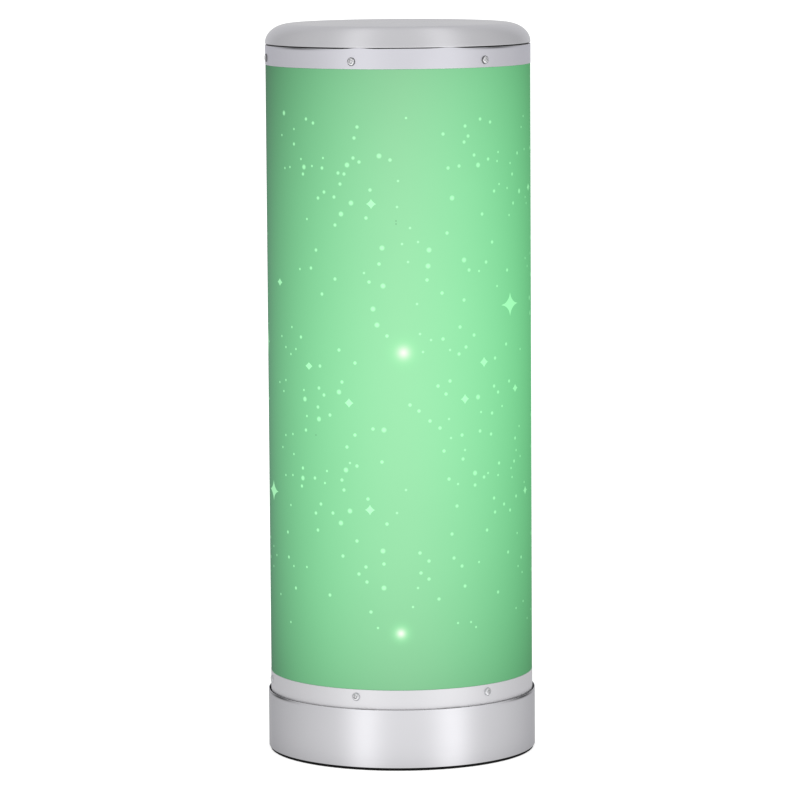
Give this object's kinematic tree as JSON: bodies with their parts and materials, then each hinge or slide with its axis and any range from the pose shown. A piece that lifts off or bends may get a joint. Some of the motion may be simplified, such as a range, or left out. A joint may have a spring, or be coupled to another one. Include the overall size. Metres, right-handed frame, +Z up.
{
  "type": "decorative led column lamp",
  "caption": "Free-standing column lamp: a star-printed frosted glass tube lit from inside by LEDs, on a round chrome base, with a lift-off chrome cap and a push switch at the back.",
  "frame": {"origin": "centre of the foot, on the surface that the lamp stands on", "axes": "+Z up along the lamp's axis, -Y to the lamp's front, +Y to the socket and push button at the back"},
  "size_m": [0.0972, 0.0984, 0.2635],
  "materials": {
    "chrome": "polished chrome plate",
    "printed_glass": "frosted glass with a fine printed star pattern, lit green from inside",
    "black_rubber": "matt rubber",
    "zinc_plate": "bright zinc plate",
    "brass_plain": "plain turned brass",
    "board_green": "solder-masked board",
    "black_plastic": "fine-textured moulding",
    "nylon_white": "satin nylon",
    "holder_plastic": "satin heat-proof moulding",
    "silicone": "soft silicone",
    "mast_aluminium": "mill-finish extrusion",
    "strip_white": "white solder-masked strip",
    "led_package": "moulded package",
    "led_lens": "clear dome, lit green",
    "wire_red": "smooth insulation"
  },
  "bodies": {
    "lamp": {"base_housing": "chrome", "bottom_cover": "zinc_plate", "foot_ring": "black_rubber", "standoffs": "brass_plain", "cover_screws": "zinc_plate", "holder_screws": "zinc_plate", "control_board": "board_green", "board_spacers": "nylon_white", "board_screws": "zinc_plate", "board_components": "black_plastic", "dc_inlet": "black_plastic", "switch_body": "black_plastic", "switch_spring": "zinc_plate", "lower_holder": "holder_plastic", "lower_collar": "chrome", "lower_collar_screws": "chrome", "lower_gasket": "silicone", "glass_shade": "printed_glass", "upper_gasket": "silicone", "upper_holder": "holder_plastic", "upper_collar": "chrome", "upper_collar_screws": "chrome", "top_spider": "zinc_plate", "tie_rod": "brass_plain", "rod_washers": "zinc_plate", "rod_nuts": "brass_plain", "led_mast": "mast_aluminium", "mast_foot": "holder_plastic", "mast_head": "holder_plastic", "led_strips": "strip_white", "led_emitters": "led_package", "led_lenses": "led_lens", "lead_grommet": "black_rubber", "led_leads": "wire_red"},
    "cap": {"top_cap": "chrome", "cap_locating_ring": "holder_plastic", "cap_nuts": "zinc_plate"},
    "button": {"button_cap": "black_plastic", "switch_plunger": "nylon_white"}
  },
  "joints": [
    {"name": "cap_lift", "type": "slide", "parent": "lamp", "child": "cap", "axis": [0, 0, 1], "range_m": [0, 0.05]},
    {"name": "button_press", "type": "slide", "parent": "lamp", "child": "button", "axis": [0, -1, 0], "range_m": [0, 0.0018], "stiffness_N_per_m": 800, "deforming": ["switch_spring"]}
  ]
}
